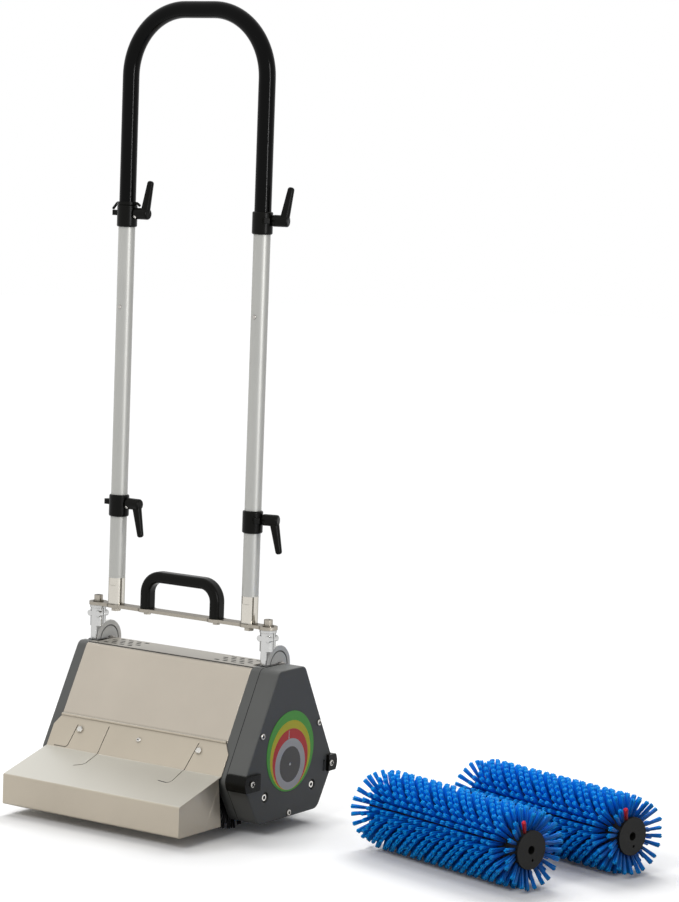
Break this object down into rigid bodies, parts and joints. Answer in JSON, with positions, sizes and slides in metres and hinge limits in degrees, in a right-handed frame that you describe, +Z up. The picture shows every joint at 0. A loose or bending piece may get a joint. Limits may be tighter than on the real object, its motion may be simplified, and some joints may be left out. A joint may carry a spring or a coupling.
{
  "type": "counter-rotating brush floor scrubber",
  "caption": "Upright floor scrubber with bristle rollers that turn opposite ways, a folded dirt tray, clamped tube handle and spare rollers beside it.",
  "frame": {"origin": "on the floor, under the middle of the body between the two fitted brushes", "axes": "+X to the gear side of the body, +Y to the rear, away from the dirt tray, +Z up along the handle"},
  "size_m": [0.9102, 0.4385, 1.2001],
  "materials": {
    "stainless": "brushed",
    "tube_aluminium": "satin",
    "chrome": "polished",
    "steel": "zinc plated",
    "dark_moulding": "fine grain",
    "black_plastic": "semi-gloss",
    "black_tube": "gloss coat",
    "motor_paint": "satin",
    "gear_nylon": "moulded",
    "belt_rubber": "matte",
    "wheel_grey": "moulded",
    "core_black": "moulded",
    "bristle_blue": "filament",
    "bristle_dark": "filament",
    "gauge_print": "printed film"
  },
  "bodies": {
    "chassis": {"left_side_plate": "dark_moulding", "right_side_plate": "dark_moulding", "drive_cover": "dark_moulding", "recess_bolts": "steel", "cover_clips": "black_plastic", "cover_screws": "steel", "gauge_label": "gauge_print", "top_cover": "stainless", "motor_deck": "steel", "motor_case": "motor_paint", "drive_belt": "belt_rubber", "tie_rods": "steel", "brush_bearings": "steel", "idler_pins": "steel", "switch_bezel": "black_plastic", "cable_gland": "black_plastic", "pivot_brackets": "steel", "pivot_pins": "steel"},
    "rotor": {"motor_shaft": "steel", "motor_pulley": "steel"},
    "front_brush": {"front_brush_core": "core_black", "front_brush_bristles": "bristle_dark", "front_brush_shafts": "steel", "front_brush_gear": "gear_nylon"},
    "rear_brush": {"rear_brush_core": "core_black", "rear_brush_bristles": "bristle_dark", "rear_brush_shafts": "steel", "rear_brush_gear": "gear_nylon"},
    "first_idler": {"idler_gear_a": "gear_nylon"},
    "second_idler": {"idler_gear_b": "gear_nylon"},
    "rocker": {"switch_rocker": "black_plastic"},
    "tray": {"dirt_tray": "stainless", "tray_screws": "steel"},
    "left_wheel": {"left_wheel": "wheel_grey"},
    "right_wheel": {"right_wheel": "wheel_grey"},
    "handle_yoke": {"knuckles": "chrome", "yoke_plate": "steel", "yoke_bolts": "steel", "lift_handle": "black_plastic", "tube_sockets": "tube_aluminium", "lower_tubes": "tube_aluminium", "lower_collars": "black_plastic"},
    "middle_frame": {"middle_tubes": "tube_aluminium", "upper_tubes": "tube_aluminium", "inner_sleeves": "tube_aluminium", "upper_collars": "black_plastic", "cable_hook": "black_plastic"},
    "grip": {"grip": "black_tube"},
    "left_lower_lever": {"left_lower_lever": "black_plastic"},
    "right_lower_lever": {"right_lower_lever": "black_plastic"},
    "left_upper_lever": {"left_upper_lever": "black_plastic"},
    "right_upper_lever": {"right_upper_lever": "black_plastic"},
    "left_button": {"left_snap_button": "steel"},
    "right_button": {"right_snap_button": "steel"},
    "near_spare_brush": {"near_spare_core": "core_black", "near_spare_bristles": "bristle_blue"},
    "far_spare_brush": {"far_spare_core": "core_black", "far_spare_bristles": "bristle_blue"}
  },
  "joints": [
    {"name": "front_brush_spin", "type": "hinge", "parent": "chassis", "child": "front_brush", "pos_m": [0, -0.06, 0.0565], "axis": [1, 0, 0], "continuous": true},
    {"name": "rear_brush_spin", "type": "hinge", "parent": "chassis", "child": "rear_brush", "pos_m": [0, 0.06, 0.0565], "axis": [1, 0, 0], "continuous": true},
    {"name": "first_idler_spin", "type": "hinge", "parent": "chassis", "child": "first_idler", "pos_m": [0, -0.02, 0.0565], "axis": [1, 0, 0], "continuous": true},
    {"name": "second_idler_spin", "type": "hinge", "parent": "chassis", "child": "second_idler", "pos_m": [0, 0.02, 0.0565], "axis": [1, 0, 0], "continuous": true},
    {"name": "rotor_spin", "type": "hinge", "parent": "chassis", "child": "rotor", "pos_m": [0, 0, 0.168], "axis": [1, 0, 0], "continuous": true},
    {"name": "handle_tilt", "type": "hinge", "parent": "chassis", "child": "handle_yoke", "pos_m": [0, 0.021, 0.2345], "axis": [-1, 0, 0], "range_deg": [0, 75]},
    {"name": "left_wheel_spin", "type": "hinge", "parent": "chassis", "child": "left_wheel", "pos_m": [-0.1582, 0.021, 0.2345], "axis": [1, 0, 0], "continuous": true},
    {"name": "right_wheel_spin", "type": "hinge", "parent": "chassis", "child": "right_wheel", "pos_m": [0.1582, 0.021, 0.2345], "axis": [1, 0, 0], "continuous": true},
    {"name": "lower_extension", "type": "slide", "parent": "handle_yoke", "child": "middle_frame", "axis": [0, 0, 1], "range_m": [0, 0.06]},
    {"name": "grip_extension", "type": "slide", "parent": "middle_frame", "child": "grip", "axis": [0, 0, 1], "range_m": [0, 0.05]},
    {"name": "tray_removal", "type": "slide", "parent": "chassis", "child": "tray", "axis": [0, -0.8832, 0.469], "range_m": [0, 0.08]},
    {"name": "switch_tip", "type": "hinge", "parent": "chassis", "child": "rocker", "pos_m": [-0.122, 0.07427, 0.16], "axis": [-1, 0, 0], "range_deg": [0, 12]},
    {"name": "near_spare_lift", "type": "slide", "parent": "chassis", "child": "near_spare_brush", "axis": [0, 0, 1], "range_m": [0, 0.2]},
    {"name": "far_spare_lift", "type": "slide", "parent": "chassis", "child": "far_spare_brush", "axis": [0, 0, 1], "range_m": [0, 0.2]},
    {"name": "left_lower_clamp", "type": "hinge", "parent": "handle_yoke", "child": "left_lower_lever", "pos_m": [-0.124, -0.0025, 0.45], "axis": [1, 0, 0], "range_deg": [0, 120]},
    {"name": "left_upper_clamp", "type": "hinge", "parent": "middle_frame", "child": "left_upper_lever", "pos_m": [-0.124, -0.0025, 0.886], "axis": [1, 0, 0], "range_deg": [0, 120]},
    {"name": "left_button_press", "type": "slide", "parent": "middle_frame", "child": "left_button", "axis": [0, 1, 0], "range_m": [0, 0.0029], "stiffness_N_per_m": 800, "springref_m": -0.002},
    {"name": "right_lower_clamp", "type": "hinge", "parent": "handle_yoke", "child": "right_lower_lever", "pos_m": [0.124, -0.0025, 0.45], "axis": [0.9659, 0.2588, 0], "range_deg": [0, 120]},
    {"name": "right_upper_clamp", "type": "hinge", "parent": "middle_frame", "child": "right_upper_lever", "pos_m": [0.124, -0.0025, 0.886], "axis": [0.9659, 0.2588, 0], "range_deg": [0, 120]},
    {"name": "right_button_press", "type": "slide", "parent": "middle_frame", "child": "right_button", "axis": [0, 1, 0], "range_m": [0, 0.0029], "stiffness_N_per_m": 800, "springref_m": -0.002}
  ],
  "couplings": [
    {"joint": "first_idler_spin", "follows": "front_brush_spin", "ratio": -1},
    {"joint": "second_idler_spin", "follows": "front_brush_spin", "ratio": 1},
    {"joint": "rear_brush_spin", "follows": "front_brush_spin", "ratio": -1},
    {"joint": "rotor_spin", "follows": "front_brush_spin", "ratio": -1.6667}
  ]
}
